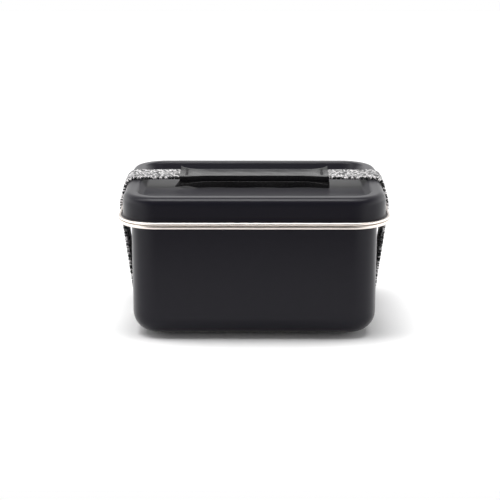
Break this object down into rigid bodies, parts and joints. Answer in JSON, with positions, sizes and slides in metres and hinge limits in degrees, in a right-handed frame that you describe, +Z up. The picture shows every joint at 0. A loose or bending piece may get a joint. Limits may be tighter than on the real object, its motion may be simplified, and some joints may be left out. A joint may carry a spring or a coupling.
{
  "type": "lunch box",
  "caption": "Rectangular black-coated steel lunch box with a recessed lid, bare steel rims, a grey elastic band round the middle and a leather sleeve handle.",
  "frame": {"origin": "middle of the footprint, on the surface that the box stands on, which is the underside of the elastic band's run under the base", "axes": "+X along the long side, towards the right end; -Y towards the front, where the handle's seam hangs; +Z up"},
  "size_m": [0.185, 0.138, 0.1021],
  "materials": {
    "black_coat": "satin black powder coat with a fine texture, on deep-drawn steel",
    "bare_steel": "bare polished steel edge",
    "grey_silicone": "matte food-grade silicone",
    "grey_elastic": "woven elastic, heather mix of light and dark grey yarns",
    "black_leather": "semi-gloss black leather with a fine grain",
    "black_thread": "waxed black sewing thread"
  },
  "bodies": {
    "box": {"body_shell": "black_coat", "body_rim": "bare_steel", "strap_bottom": "grey_elastic", "strap_side_left": "grey_elastic", "strap_side_right": "grey_elastic"},
    "lid": {"lid_shell": "black_coat", "lid_rim": "bare_steel", "lid_gasket": "grey_silicone", "strap_shoulder_left": "grey_elastic", "strap_shoulder_right": "grey_elastic", "strap_bridge_left": "grey_elastic", "strap_bridge_right": "grey_elastic"},
    "handle": {"handle_sleeve": "black_leather", "strap_core": "grey_elastic", "handle_seam_thread": "black_thread", "bar_tack_left": "black_thread", "bar_tack_right": "black_thread"}
  },
  "joints": [
    {"name": "lid_lift", "type": "slide", "parent": "box", "child": "lid", "axis": [0, 0, 1], "range_m": [0, 0.06], "stiffness_N_per_m": 400, "springref_m": -0.05, "deforming": ["strap_side_left", "strap_side_right"]},
    {"name": "handle_lift", "type": "slide", "parent": "lid", "child": "handle", "axis": [0, 0, 1], "range_m": [0, 0.03], "stiffness_N_per_m": 500, "springref_m": -0.002, "deforming": ["strap_bridge_left", "strap_bridge_right"]}
  ]
}
